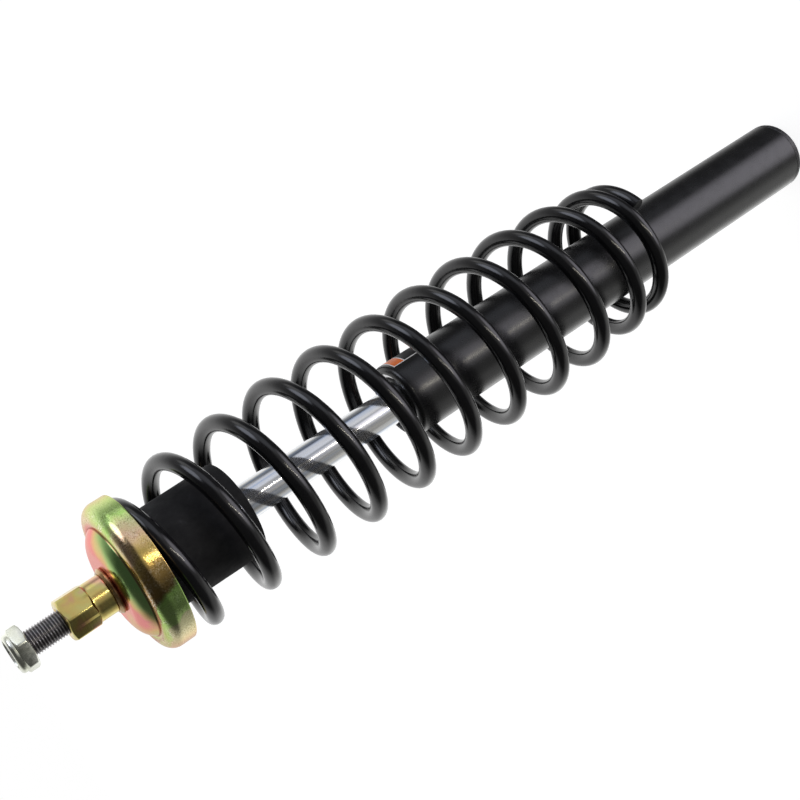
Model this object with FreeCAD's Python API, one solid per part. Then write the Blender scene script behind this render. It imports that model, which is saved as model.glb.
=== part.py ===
import FreeCAD, Part
import math
import os

# Coil-over strut cartridge, standing upright on its closed end.
# +Z runs up the strut from the tube's closed end to the threaded stud.
# Z = 0 is the closed end's flat face.
# Sizes are in millimetres. R is a radius, D a diameter, AF a hexagon's width across its flats.

# Strut tube and its closed end
TUBE_R = 22.5
TUBE_WALL = 2.0
TUBE_BORE_R = TUBE_R - TUBE_WALL
TUBE_TOP = 341.0
LIP_R = 18.2
LIP_ROUND = 3.0
LIP_THICKNESS = 1.8
CAP_THICKNESS = 5.0
CAP_ROUND = 2.5
CAP_SPIGOT_HEIGHT = 4.0
CAP_SPIGOT_WALL = 3.4

# Rod and stud
ROD_R = 10.0
ROD_BOTTOM = 282.0
ROD_SHOULDER = 522.2
TENON_R = 6.0
TENON_BOTTOM = 248.0
STUD_R = 7.0
STUD_MINOR_R = 6.2
STUD_TIP = 583.0
STUD_TIP_CHAMFER = 1.0
TENON_CHAMFER = 1.0

# Clearances
RUNNING = 0.05
SLIP = 0.1
STACK_GAP = 0.02

# Upper stack: washer, cup, ring, collar nut and lock nut
CUP_SHEET = 2.4
CUP_APEX = 527.6
CUP_APEX_R = 19.7
CUP_DOME_ARC = 15.0
CUP_RING_Z = 521.2
CUP_R = 42.5
CUP_CORNER = 7.0
CUP_RIM = 506.5
CLAMP_WASHER_R = 13.3
NECK_RING_R = 13.0
NECK_RING_HEIGHT = 2.6
NECK_RING_BEVEL = 1.2
COLLAR_R = 10.75
COLLAR_TOP = 540.0
HEX_AF = 22.0
HEX_TOP = 555.5
HEX_FACE_R = 10.4
HEX_SIDES = 6
HEX_CHAMFER = 30.0
COLLAR_NUT_TURN = 24.0
LOCK_NUT_BOTTOM = 574.3
LOCK_NUT_HEX_TOP = 580.9
LOCK_NUT_TOP = 583.7
LOCK_NUT_TURN = 41.0
LOCK_COLLAR_R = 10.6
LOCK_COLLAR_TOP_R = 8.4
LOCK_COLLAR_DRAFT = 0.5
LOCK_COLLAR_ROUND_HEIGHT = 1.3
NUT_COUNTERSINK_R = 7.6
INSERT_R = 8.2
INSERT_BOTTOM = 580.2

# Spring, isolator and bump stop
WIRE_R = 4.75
COIL_R = 45.3
SPRING_TOP_CENTRE = 511.55
SPRING_START_ANGLE = 293.6
LOW_CLOSED_TURNS = 0.80
LOW_RAMP_TURNS = 0.85
ACTIVE_TURNS = 9.25
TOP_RAMP_TURNS = 0.35
TOP_CLOSED_TURNS = 0.45
LOW_CLOSED_PITCH = 10.4
ACTIVE_PITCH = 34.4
TOP_CLOSED_PITCH = 9.6
LOW_TAPER = 7.7
LOW_TAPER_TURNS = 3.0
# From the cup downwards the coil holds its small radius, steps out, and then spreads slowly.
TOP_HOLD_TURNS = 0.65
TOP_STEP = 5.5
TOP_STEP_TURNS = 0.45
TOP_SPREAD = 5.0
TOP_SPREAD_TURNS = 3.3
SPRING_LEAN_X = 4.2
SPRING_LEAN_Y = -4.2
POINTS_PER_TURN = 16
ISOLATOR_BOTTOM = 516.4
ISOLATOR_TOP = 518.7
ISOLATOR_BORE_R = 28.2
ISOLATOR_R = 39.4
ISOLATOR_EDGE_R = 38.5
ISOLATOR_EDGE_Z = 517.4
BUMP_BOTTOM = 452.0
BUMP_TOP = 516.2
BUMP_BOSS_TOP = 521.9
BUMP_R = 27.6
BUMP_TOP_R = 27.0
BUMP_BOSS_R = 20.0
BUMP_EDGE = 1.6

# Gland
GUIDE_BOTTOM = 300.0
GUIDE_SHOULDER = 308.0
GUIDE_TOP = 331.0
GUIDE_R = 20.4
BUSH_R = 12.2
BUSH_BOTTOM = 303.0
BUSH_TOP = 329.0
O_RING_Z = 320.0
O_RING_WIRE = 1.05
O_RING_GROOVE_R = 18.3
O_RING_GROOVE_HALF = 1.4
SEAL_TOP = 336.0
SEAL_LIP_R = 11.2
SEAL_LIP_Z = 331.2
SEAL_LIP_EDGE_Z = 332.5
SEAL_RELIEF_R = 12.2
SEAL_RELIEF_OUTER_R = 14.2
SEAL_RELIEF_TOP = 333.6
WIPER_R = 15.2
WIPER_TOP = 343.0
WIPER_SHOULDER_Z = 339.8
WIPER_EDGE_Z = 338.4
WIPER_EDGE_R = 14.2
WIPER_LIP_R = 12.4
WIPER_LIP_TOP_R = 11.3
RETAINER_CHAMFER = 0.8

# Pressure tube, piston and its valves
PRESSURE_BORE_R = 15.0
PRESSURE_R = 16.5
PISTON_R = 14.6
PISTON_BOTTOM = 262.0
PISTON_TOP = 277.6
BAND_R = 14.95
BAND_GROOVE_R = 13.6
BAND_BOTTOM = 265.0
BAND_TOP = 275.0
BAND_END_GAP = 0.2
PORT_R = 1.6
PORT_CIRCLE_R = 9.4
PORT_COUNT = 6
SHIM_COUNT = 4
SHIM_THICKNESS = 0.4
SHIM_R = 12.5
SHIM_STEP = 1.2
PISTON_WASHER_R = 11.0
PISTON_NUT_AF = 17.0
PISTON_NUT_HEIGHT = 8.0
STOP_RING_BOTTOM = 288.0
STOP_RING_HEIGHT = 3.0
STOP_RING_R = 12.8
STOP_GROOVE_R = 9.2
BUMPER_TOP = 299.6
BUMPER_R = 13.4
BUMPER_CHAMFER = 1.5

# Base valve
VALVE_FOOT_TOP = 12.0
VALVE_TOP = 20.0
VALVE_DISC_COUNT = 3
VALVE_SPRING_RISE = 3.0
VALVE_BOLT_R = 3.0
VALVE_HEAD_R = 6.0
VALVE_HEAD_HEIGHT = 3.2
VALVE_TAIL_R = 4.6
VALVE_TAIL_BOTTOM = 6.6
VALVE_HEAD_CHAMFER = 0.8

# Label: a thin patch that lies flush in the tube
LABEL_BOTTOM = 316.0
LABEL_TOP = 337.0
LABEL_THICKNESS = 0.15
LABEL_START = -40.0
LABEL_SWEEP = 118.0

FULL_TURN = 360.0
QUARTER_TURN = 90.0
EIGHTH_TURN = 45.0


def point(r, z):
    """A point of a lathe outline, in the XZ plane."""
    return FreeCAD.Vector(r, 0, z)


def spin(edges, sweep=FULL_TURN):
    """Turn a closed outline in the XZ plane into a solid about Z."""
    face = Part.Face(Part.Wire(edges))
    return face.revolve(FreeCAD.Vector(0, 0, 0), FreeCAD.Vector(0, 0, 1), sweep)


def lathe(outline, sweep=FULL_TURN):
    """A turned solid from the corners of its half section, as (radius, height) pairs."""
    corners = [point(r, z) for r, z in outline]
    edges = Part.makePolygon(corners + corners[:1]).Edges
    return spin(edges, sweep)


def ring(inner, outer, bottom, top):
    """A plain ring, or a disc when inner is 0."""
    return lathe([(inner, bottom), (outer, bottom), (outer, top), (inner, top)])


def line(start, end):
    return Part.LineSegment(point(*start), point(*end)).toShape()


def arc(start, middle, end):
    return Part.Arc(point(*start), point(*middle), point(*end)).toShape()


def on_circle(centre, radius, degrees):
    """A point on a circle in the half section; 0 degrees points outwards, 90 up."""
    turn = math.radians(degrees)
    return (centre[0] + radius * math.cos(turn), centre[1] + radius * math.sin(turn))


def around(shape, count):
    """Copies of a shape spaced evenly round Z."""
    copies = []
    for index in range(count):
        copy = shape.copy()
        copy.rotate(FreeCAD.Vector(0, 0, 0), FreeCAD.Vector(0, 0, 1), FULL_TURN * index / count)
        copies.append(copy)
    return copies


def hexagon(flats, bottom, top, turn):
    """A hexagonal bar about Z."""
    corner_r = flats / 2 / math.cos(math.pi / HEX_SIDES)
    corners = []
    for index in range(HEX_SIDES + 1):
        angle = math.radians(FULL_TURN * index / HEX_SIDES + turn)
        corners.append(FreeCAD.Vector(corner_r * math.cos(angle), corner_r * math.sin(angle), bottom))
    face = Part.Face(Part.makePolygon(corners))
    return face.extrude(FreeCAD.Vector(0, 0, top - bottom))


def chamfered_hexagon(flats, bottom, top, turn, face_r, chamfer_bottom=True, chamfer_top=True):
    """A hexagonal bar whose corners are turned back to a round face at one end or both."""
    outer = flats
    drop = (outer - face_r) * math.tan(math.radians(HEX_CHAMFER))
    outline = [(0, bottom)]
    outline += [(face_r, bottom), (outer, bottom + drop)] if chamfer_bottom else [(outer, bottom)]
    outline += [(outer, top - drop), (face_r, top)] if chamfer_top else [(outer, top)]
    outline += [(0, top)]
    return hexagon(flats, bottom, top, turn).common(lathe(outline))


def strut_tube():
    """The outer tube, rolled inwards over the gland, with a shallow pocket for the label."""
    round_centre = (TUBE_R - LIP_ROUND, TUBE_TOP - LIP_ROUND)
    side = on_circle(round_centre, LIP_ROUND, 0)
    bend = on_circle(round_centre, LIP_ROUND, EIGHTH_TURN)
    crown = on_circle(round_centre, LIP_ROUND, QUARTER_TURN)
    lip_under = TUBE_TOP - LIP_THICKNESS
    corners = [
        (TUBE_BORE_R, CAP_THICKNESS),
        (TUBE_R, CAP_THICKNESS),
        side,
    ]
    edges = [line(a, b) for a, b in zip(corners, corners[1:])]
    edges.append(arc(side, bend, crown))
    rest = [crown, (LIP_R, TUBE_TOP), (LIP_R, lip_under), (TUBE_BORE_R, lip_under), corners[0]]
    edges += [line(a, b) for a, b in zip(rest, rest[1:])]
    return spin(edges).cut(label())


def bottom_cap():
    """The pressed cap that closes the tube, with a spigot inside it."""
    centre = (TUBE_R - CAP_ROUND, CAP_ROUND)
    flat_end = on_circle(centre, CAP_ROUND, -QUARTER_TURN)
    bend = on_circle(centre, CAP_ROUND, -EIGHTH_TURN)
    side = on_circle(centre, CAP_ROUND, 0)
    spigot_top = CAP_THICKNESS + CAP_SPIGOT_HEIGHT
    inner = TUBE_BORE_R - CAP_SPIGOT_WALL
    rest = [
        side,
        (TUBE_R, CAP_THICKNESS),
        (TUBE_BORE_R, CAP_THICKNESS),
        (TUBE_BORE_R, spigot_top),
        (inner, spigot_top),
        (inner, CAP_THICKNESS),
        (0, CAP_THICKNESS),
        (0, 0),
        flat_end,
    ]
    edges = [arc(flat_end, bend, side)]
    edges += [line(a, b) for a, b in zip(rest, rest[1:])]
    return spin(edges)


def label():
    """A thin curved patch near the gland, its face flush with the tube."""
    inner = TUBE_R - LABEL_THICKNESS
    patch = lathe(
        [(inner, LABEL_BOTTOM), (TUBE_R, LABEL_BOTTOM), (TUBE_R, LABEL_TOP), (inner, LABEL_TOP)],
        LABEL_SWEEP,
    )
    patch.rotate(FreeCAD.Vector(0, 0, 0), FreeCAD.Vector(0, 0, 1), LABEL_START)
    return patch


def rod_guide():
    """The guide that closes the tube's mouth and centres the pressure tube."""
    nose = PRESSURE_BORE_R - RUNNING
    groove_low = O_RING_Z - O_RING_GROOVE_HALF
    groove_high = O_RING_Z + O_RING_GROOVE_HALF
    return lathe([
        (ROD_R + SLIP, GUIDE_BOTTOM),
        (nose, GUIDE_BOTTOM),
        (nose, GUIDE_SHOULDER),
        (GUIDE_R, GUIDE_SHOULDER),
        (GUIDE_R, groove_low),
        (O_RING_GROOVE_R, groove_low),
        (O_RING_GROOVE_R, groove_high),
        (GUIDE_R, groove_high),
        (GUIDE_R, GUIDE_TOP),
        (BUSH_R, GUIDE_TOP),
        (BUSH_R, BUSH_BOTTOM),
        (ROD_R + SLIP, BUSH_BOTTOM),
    ])


def guide_bush():
    return ring(ROD_R + RUNNING, BUSH_R, BUSH_BOTTOM, BUSH_TOP)


def guide_o_ring():
    torus_r = O_RING_GROOVE_R + O_RING_WIRE
    return Part.makeTorus(torus_r, O_RING_WIRE, FreeCAD.Vector(0, 0, O_RING_Z))


def rod_seal():
    """The main oil seal, relieved underneath behind its lip."""
    return lathe([
        (ROD_R + RUNNING, SEAL_LIP_EDGE_Z),
        (SEAL_LIP_R, SEAL_LIP_Z),
        (SEAL_RELIEF_R, SEAL_RELIEF_TOP),
        (SEAL_RELIEF_OUTER_R, SEAL_RELIEF_TOP),
        (SEAL_RELIEF_OUTER_R, GUIDE_TOP),
        (GUIDE_R, GUIDE_TOP),
        (GUIDE_R, SEAL_TOP),
        (ROD_R + RUNNING, SEAL_TOP),
    ])


def retaining_ring():
    """The bright ring under the rolled lip."""
    top = TUBE_TOP - LIP_THICKNESS
    return lathe([
        (WIPER_R, SEAL_TOP),
        (GUIDE_R, SEAL_TOP),
        (GUIDE_R, top),
        (WIPER_R + RETAINER_CHAMFER, top),
        (WIPER_R, top - RETAINER_CHAMFER),
    ])


def wiper_seal():
    """The dust wiper that stands a little proud of the tube."""
    return lathe([
        (ROD_R + RUNNING, SEAL_TOP),
        (WIPER_R, SEAL_TOP),
        (WIPER_R, WIPER_EDGE_Z),
        (WIPER_EDGE_R, WIPER_SHOULDER_Z),
        (WIPER_LIP_R, WIPER_SHOULDER_Z),
        (WIPER_LIP_TOP_R, WIPER_TOP),
        (ROD_R + RUNNING, WIPER_TOP),
    ])


def pressure_tube():
    return ring(PRESSURE_BORE_R, PRESSURE_R, VALVE_FOOT_TOP, GUIDE_SHOULDER)


def piston_rod():
    """Rod, piston tenon, stop-ring groove and stud, all one turned piece."""
    groove_top = STOP_RING_BOTTOM + STOP_RING_HEIGHT
    return lathe([
        (0, TENON_BOTTOM),
        (TENON_R - TENON_CHAMFER, TENON_BOTTOM),
        (TENON_R, TENON_BOTTOM + TENON_CHAMFER),
        (TENON_R, ROD_BOTTOM),
        (ROD_R, ROD_BOTTOM),
        (ROD_R, STOP_RING_BOTTOM),
        (STOP_GROOVE_R, STOP_RING_BOTTOM),
        (STOP_GROOVE_R, groove_top),
        (ROD_R, groove_top),
        (ROD_R, ROD_SHOULDER),
        (STUD_R, ROD_SHOULDER),
        (STUD_R, CUP_APEX + NECK_RING_HEIGHT),
        (STUD_MINOR_R, CUP_APEX + NECK_RING_HEIGHT),
        (STUD_MINOR_R, HEX_TOP),
        (STUD_R, HEX_TOP),
        (STUD_R, LOCK_NUT_BOTTOM),
        (STUD_MINOR_R, LOCK_NUT_BOTTOM),
        (STUD_MINOR_R, STUD_TIP - STUD_TIP_CHAMFER),
        (STUD_MINOR_R - STUD_TIP_CHAMFER, STUD_TIP),
        (0, STUD_TIP),
    ])


def piston():
    """The piston, with a groove for its band and a circle of oil ports."""
    body = lathe([
        (TENON_R + RUNNING, PISTON_BOTTOM),
        (PISTON_R, PISTON_BOTTOM),
        (PISTON_R, BAND_BOTTOM),
        (BAND_GROOVE_R, BAND_BOTTOM),
        (BAND_GROOVE_R, BAND_TOP),
        (PISTON_R, BAND_TOP),
        (PISTON_R, PISTON_TOP),
        (TENON_R + RUNNING, PISTON_TOP),
    ])
    port = Part.makeCylinder(
        PORT_R, PISTON_TOP - PISTON_BOTTOM, FreeCAD.Vector(PORT_CIRCLE_R, 0, PISTON_BOTTOM)
    )
    return body.cut(Part.makeCompound(around(port, PORT_COUNT)))


def piston_band():
    return ring(BAND_GROOVE_R + RUNNING, BAND_R, BAND_BOTTOM + BAND_END_GAP, BAND_TOP - BAND_END_GAP)


def shim_stack(seat, direction):
    """Spring-steel discs that get smaller away from the piston."""
    discs = []
    for index in range(SHIM_COUNT):
        near = seat + direction * (index * (SHIM_THICKNESS + STACK_GAP) + STACK_GAP)
        far = near + direction * SHIM_THICKNESS
        discs.append(ring(TENON_R + RUNNING, SHIM_R - index * SHIM_STEP, min(near, far), max(near, far)))
    return Part.makeCompound(discs)


def shim_stack_height():
    return SHIM_COUNT * (SHIM_THICKNESS + STACK_GAP) + STACK_GAP


def compression_shims():
    return shim_stack(PISTON_TOP, 1)


def rebound_shims():
    return shim_stack(PISTON_BOTTOM, -1)


def piston_washer():
    return ring(TENON_R + RUNNING, PISTON_WASHER_R, PISTON_TOP + shim_stack_height(), ROD_BOTTOM)


def piston_nut():
    top = PISTON_BOTTOM - shim_stack_height()
    bottom = top - PISTON_NUT_HEIGHT
    body = chamfered_hexagon(PISTON_NUT_AF, bottom, top, 0, PISTON_NUT_AF / 2, chamfer_top=False)
    return body.cut(ring(0, TENON_R + RUNNING, bottom, top))


def stop_ring():
    """The ring crimped into the rod's groove that ends its outward travel."""
    top = STOP_RING_BOTTOM + STOP_RING_HEIGHT
    return ring(STOP_GROOVE_R, STOP_RING_R, STOP_RING_BOTTOM, top)


def top_out_bumper():
    bottom = STOP_RING_BOTTOM + STOP_RING_HEIGHT
    return lathe([
        (ROD_R + SLIP, bottom),
        (BUMPER_R, bottom),
        (BUMPER_R, BUMPER_TOP - BUMPER_CHAMFER),
        (BUMPER_R - BUMPER_CHAMFER, BUMPER_TOP),
        (ROD_R + SLIP, BUMPER_TOP),
    ])


def base_valve_body():
    """The foot valve's body: a flange on the cap's spigot and a spigot in the pressure tube."""
    foot_bottom = CAP_THICKNESS + CAP_SPIGOT_HEIGHT
    spigot = PRESSURE_BORE_R - RUNNING
    bolt_hole = VALVE_BOLT_R + RUNNING
    body = lathe([
        (bolt_hole, foot_bottom),
        (GUIDE_R, foot_bottom),
        (GUIDE_R, VALVE_FOOT_TOP),
        (spigot, VALVE_FOOT_TOP),
        (spigot, VALVE_TOP),
        (bolt_hole, VALVE_TOP),
    ])
    port = Part.makeCylinder(
        PORT_R, VALVE_TOP - foot_bottom, FreeCAD.Vector(PORT_CIRCLE_R, 0, foot_bottom)
    )
    return body.cut(Part.makeCompound(around(port, PORT_COUNT)))


def base_valve_discs():
    discs = []
    for index in range(VALVE_DISC_COUNT):
        bottom = VALVE_TOP + STACK_GAP + index * (SHIM_THICKNESS + STACK_GAP)
        radius = SHIM_R - index * SHIM_STEP
        discs.append(ring(VALVE_BOLT_R + RUNNING, radius, bottom, bottom + SHIM_THICKNESS))
    return Part.makeCompound(discs)


def disc_stack_top():
    return VALVE_TOP + STACK_GAP + VALVE_DISC_COUNT * (SHIM_THICKNESS + STACK_GAP)


def base_valve_spring():
    """The coned spring washer that holds the discs down."""
    bottom = disc_stack_top()
    top = bottom + VALVE_SPRING_RISE
    wide = SHIM_R - VALVE_DISC_COUNT * SHIM_STEP
    narrow = VALVE_BOLT_R + SLIP
    return lathe([
        (narrow, top - SHIM_THICKNESS),
        (wide - SHIM_THICKNESS, bottom),
        (wide, bottom),
        (narrow + SHIM_THICKNESS, top),
        (narrow, top),
    ])


def base_valve_bolt():
    """The bolt through the foot valve, its tail upset below the body."""
    foot_bottom = CAP_THICKNESS + CAP_SPIGOT_HEIGHT
    head_bottom = disc_stack_top() + VALVE_SPRING_RISE
    head_top = head_bottom + VALVE_HEAD_HEIGHT
    return lathe([
        (0, VALVE_TAIL_BOTTOM),
        (VALVE_TAIL_R, VALVE_TAIL_BOTTOM),
        (VALVE_TAIL_R, foot_bottom),
        (VALVE_BOLT_R, foot_bottom),
        (VALVE_BOLT_R, head_bottom),
        (VALVE_HEAD_R, head_bottom),
        (VALVE_HEAD_R, head_top - VALVE_HEAD_CHAMFER),
        (VALVE_HEAD_R - VALVE_HEAD_CHAMFER, head_top),
        (0, head_top),
    ])


def cup_section(inset):
    """The dome, step, corner and rim of the cup's half section, moved inwards by inset.

    Returns the edges from the apex outwards and down, with their first and last points.
    """
    dome_centre = (CUP_APEX_R, CUP_APEX - CUP_DOME_ARC)
    dome_r = CUP_DOME_ARC - inset
    ring_z = CUP_RING_Z - inset
    fall = math.degrees(math.asin((ring_z - dome_centre[1]) / dome_r))
    apex = on_circle(dome_centre, dome_r, QUARTER_TURN)
    dome_mid = on_circle(dome_centre, dome_r, (QUARTER_TURN + fall) / 2)
    step = on_circle(dome_centre, dome_r, fall)
    corner_centre = (CUP_R - CUP_CORNER, CUP_RING_Z - CUP_CORNER)
    corner_r = CUP_CORNER - inset
    corner_start = on_circle(corner_centre, corner_r, QUARTER_TURN)
    corner_mid = on_circle(corner_centre, corner_r, EIGHTH_TURN)
    corner_end = on_circle(corner_centre, corner_r, 0)
    rim = (corner_end[0], CUP_RIM)
    hole = (STUD_R + SLIP, apex[1])
    edges = [
        line(hole, apex),
        arc(apex, dome_mid, step),
        line(step, corner_start),
        arc(corner_start, corner_mid, corner_end),
        line(corner_end, rim),
    ]
    return edges, hole, rim


def spring_cup():
    """The pressed upper seat of the spring: a domed centre, a flat ring and a turned-down rim."""
    outer_edges, outer_hole, outer_rim = cup_section(0)
    inner_edges, inner_hole, inner_rim = cup_section(CUP_SHEET)
    edges = outer_edges + [line(outer_rim, inner_rim)] + inner_edges[::-1] + [line(inner_hole, outer_hole)]
    return spin(edges)


def clamp_washer():
    return ring(STUD_R + SLIP, CLAMP_WASHER_R, ROD_SHOULDER, CUP_APEX - CUP_SHEET)


def neck_ring():
    """The bevelled ring between the cup and the collar nut."""
    top = CUP_APEX + NECK_RING_HEIGHT
    return lathe([
        (STUD_R + SLIP, CUP_APEX),
        (NECK_RING_R, CUP_APEX),
        (NECK_RING_R, top - NECK_RING_BEVEL),
        (NECK_RING_R - NECK_RING_BEVEL, top),
        (STUD_R + SLIP, top),
    ])


def countersink(face, inward):
    """The cone that opens a nut's bore at one face; inward is 1 or -1, the way into the nut along Z."""
    bore = STUD_MINOR_R + RUNNING
    depth = NUT_COUNTERSINK_R - bore
    bottom = face + inward * depth
    return lathe([(0, face), (NUT_COUNTERSINK_R, face), (bore, bottom), (0, bottom)])


def collar_nut():
    """A hexagon nut with a long round collar that presses the ring on the cup."""
    bottom = CUP_APEX + NECK_RING_HEIGHT
    body = chamfered_hexagon(HEX_AF, COLLAR_TOP, HEX_TOP, COLLAR_NUT_TURN, HEX_FACE_R)
    collar = ring(0, COLLAR_R, bottom, COLLAR_TOP)
    bore = ring(0, STUD_MINOR_R + RUNNING, bottom, HEX_TOP)
    return body.fuse(collar).cut(bore).cut(countersink(HEX_TOP, -1)).removeSplitter()


def lock_nut():
    """A hexagon nut with a domed collar that holds a nylon ring."""
    body = chamfered_hexagon(
        HEX_AF, LOCK_NUT_BOTTOM, LOCK_NUT_HEX_TOP, LOCK_NUT_TURN, LOCK_COLLAR_R
    )
    collar = lathe([
        (0, LOCK_NUT_HEX_TOP),
        (LOCK_COLLAR_R, LOCK_NUT_HEX_TOP),
        (LOCK_COLLAR_R - LOCK_COLLAR_DRAFT, LOCK_NUT_TOP - LOCK_COLLAR_ROUND_HEIGHT),
        (LOCK_COLLAR_TOP_R, LOCK_NUT_TOP),
        (0, LOCK_NUT_TOP),
    ])
    bore = ring(0, STUD_MINOR_R + RUNNING, LOCK_NUT_BOTTOM, LOCK_NUT_TOP)
    pocket = ring(0, INSERT_R, INSERT_BOTTOM, STUD_TIP)
    mouth = countersink(LOCK_NUT_BOTTOM, 1)
    return body.fuse(collar).cut(bore).cut(pocket).cut(mouth).removeSplitter()


def lock_nut_insert():
    return ring(STUD_MINOR_R + RUNNING, INSERT_R, INSERT_BOTTOM, STUD_TIP)


def bump_stop():
    """The elastomer stop on the rod, with a boss that fills the cup's dome."""
    return lathe([
        (ROD_R + SLIP, BUMP_BOTTOM),
        (BUMP_R - BUMP_EDGE, BUMP_BOTTOM),
        (BUMP_R, BUMP_BOTTOM + BUMP_EDGE),
        (BUMP_TOP_R, BUMP_TOP),
        (BUMP_BOSS_R, BUMP_TOP),
        (BUMP_BOSS_R, BUMP_BOSS_TOP),
        (ROD_R + SLIP, BUMP_BOSS_TOP),
    ])


def spring_isolator():
    """The rubber ring between the spring and the cup."""
    return lathe([
        (ISOLATOR_BORE_R, ISOLATOR_BOTTOM),
        (ISOLATOR_R, ISOLATOR_BOTTOM),
        (ISOLATOR_EDGE_R, ISOLATOR_EDGE_Z),
        (CUP_R - CUP_CORNER, ISOLATOR_TOP),
        (ISOLATOR_BORE_R, ISOLATOR_TOP),
    ])


def smooth(share):
    """An even ease from 0 to 1."""
    share = min(1.0, max(0.0, share))
    return share * share * (3 - 2 * share)


def spring_pitch(turn):
    """The rise per turn at a place along the wire, counted in turns from the lower end."""
    ramp_start = LOW_CLOSED_TURNS
    active_start = ramp_start + LOW_RAMP_TURNS
    active_end = active_start + ACTIVE_TURNS
    top_start = active_end + TOP_RAMP_TURNS
    if turn < ramp_start:
        return LOW_CLOSED_PITCH
    if turn < active_start:
        share = (turn - ramp_start) / LOW_RAMP_TURNS
        return LOW_CLOSED_PITCH + share * (ACTIVE_PITCH - LOW_CLOSED_PITCH)
    if turn < active_end:
        return ACTIVE_PITCH
    if turn < top_start:
        share = (turn - active_end) / TOP_RAMP_TURNS
        return ACTIVE_PITCH + share * (TOP_CLOSED_PITCH - ACTIVE_PITCH)
    return TOP_CLOSED_PITCH


def spring_path():
    """Points along the wire's centre, from the lower end up."""
    turns = LOW_CLOSED_TURNS + LOW_RAMP_TURNS + ACTIVE_TURNS + TOP_RAMP_TURNS + TOP_CLOSED_TURNS
    steps = round(turns * POINTS_PER_TURN)
    step = turns / steps
    rises = [0.0]
    for index in range(steps):
        rises.append(rises[-1] + step * spring_pitch((index + 0.5) * step))
    points = []
    for index, rise in enumerate(rises):
        turn = index * step
        angle = math.radians(SPRING_START_ANGLE + FULL_TURN * turn)
        low = smooth(1 - turn / LOW_TAPER_TURNS)
        out_of_cup = turns - turn - TOP_HOLD_TURNS
        step_in = TOP_STEP * smooth(1 - out_of_cup / TOP_STEP_TURNS)
        spread_in = TOP_SPREAD * smooth(1 - out_of_cup / TOP_SPREAD_TURNS)
        radius = COIL_R - LOW_TAPER * low - step_in - spread_in
        below_top = rises[-1] - rise
        lean = below_top / rises[-1]
        points.append(FreeCAD.Vector(
            radius * math.cos(angle) + SPRING_LEAN_X * lean,
            radius * math.sin(angle) + SPRING_LEAN_Y * lean,
            SPRING_TOP_CENTRE - below_top,
        ))
    return points


def coil_spring():
    """Round wire swept along the spring's path."""
    curve = Part.BSplineCurve()
    curve.interpolate(spring_path())
    start = curve.value(curve.FirstParameter)
    heading = curve.tangent(curve.FirstParameter)[0]
    section = Part.Wire([Part.Circle(start, heading, WIRE_R).toShape()])
    sweep = Part.BRepOffsetAPI.MakePipeShell(Part.Wire([curve.toShape()]))
    sweep.setFrenetMode(True)
    sweep.add(section)
    sweep.build()
    sweep.makeSolid()
    return sweep.shape()


NODES = [
    strut_tube, bottom_cap, label, retaining_ring, wiper_seal, rod_seal, rod_guide, guide_bush,
    guide_o_ring, pressure_tube, piston_rod, piston, piston_band, compression_shims, rebound_shims,
    piston_washer, piston_nut, stop_ring, top_out_bumper, base_valve_body, base_valve_discs,
    base_valve_spring, base_valve_bolt, spring_cup, clamp_washer, neck_ring, collar_nut, lock_nut,
    lock_nut_insert, bump_stop, spring_isolator, coil_spring,
]

os.makedirs("parts", exist_ok=True)
for make in NODES:
    shape = make()
    name = make.__name__
    shape.exportStep("parts/" + name + ".step")
    print(f"{name}: valid {shape.isValid()}, solids {len(shape.Solids)}, volume {shape.Volume:.1f}")
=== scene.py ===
import math

import bmesh
import bpy
import numpy as np
from mathutils import Matrix, Quaternion, Vector, noise


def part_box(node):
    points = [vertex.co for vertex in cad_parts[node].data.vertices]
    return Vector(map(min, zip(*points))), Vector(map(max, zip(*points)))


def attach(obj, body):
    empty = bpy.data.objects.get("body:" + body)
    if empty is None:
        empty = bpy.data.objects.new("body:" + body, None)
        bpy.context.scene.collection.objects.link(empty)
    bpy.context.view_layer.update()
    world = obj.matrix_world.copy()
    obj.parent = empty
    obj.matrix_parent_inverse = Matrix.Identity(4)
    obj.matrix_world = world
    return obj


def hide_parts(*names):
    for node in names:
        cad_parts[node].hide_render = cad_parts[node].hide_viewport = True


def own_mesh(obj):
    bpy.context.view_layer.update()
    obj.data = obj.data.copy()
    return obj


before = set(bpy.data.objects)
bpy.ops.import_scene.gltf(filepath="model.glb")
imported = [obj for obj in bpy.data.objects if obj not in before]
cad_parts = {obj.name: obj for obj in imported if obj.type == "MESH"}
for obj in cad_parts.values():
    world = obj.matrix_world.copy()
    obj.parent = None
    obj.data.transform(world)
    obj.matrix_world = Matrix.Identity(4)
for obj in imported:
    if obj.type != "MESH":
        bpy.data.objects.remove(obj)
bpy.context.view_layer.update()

# A coil-over strut cartridge that stands on its closed end, +Z towards the threaded stud.
# Outlines are in millimetres, as (radius, height) pairs, and become metres when a mesh is made.
MM = 0.001
TURN = 2 * math.pi
SEGMENTS = 192
NUT_SEGMENTS = 240
ROUND_STEPS = 6
SHARP_ANGLE = math.radians(32)
NEAR_AXIS = 0.02


# ---------------------------------------------------------------- sizes from the frame

def span(node):
    """Lowest and highest Z of a CAD node, in millimetres."""
    low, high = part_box(node)
    return low.z / MM, high.z / MM


def reach(node):
    """Outer radius of a round CAD node, in millimetres."""
    low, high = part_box(node)
    return (high.x - low.x) / 2 / MM


TUBE_R = reach("strut_tube")
TUBE_BORE_R = TUBE_R - 2.0
CAP_JOIN, TUBE_TOP = span("strut_tube")
CAP_TOP = span("bottom_cap")[1]
CAP_ROUND = 2.5
LIP_ROUND = 3.0
LIP_R = 18.2
LIP_THICKNESS = 1.8

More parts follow.
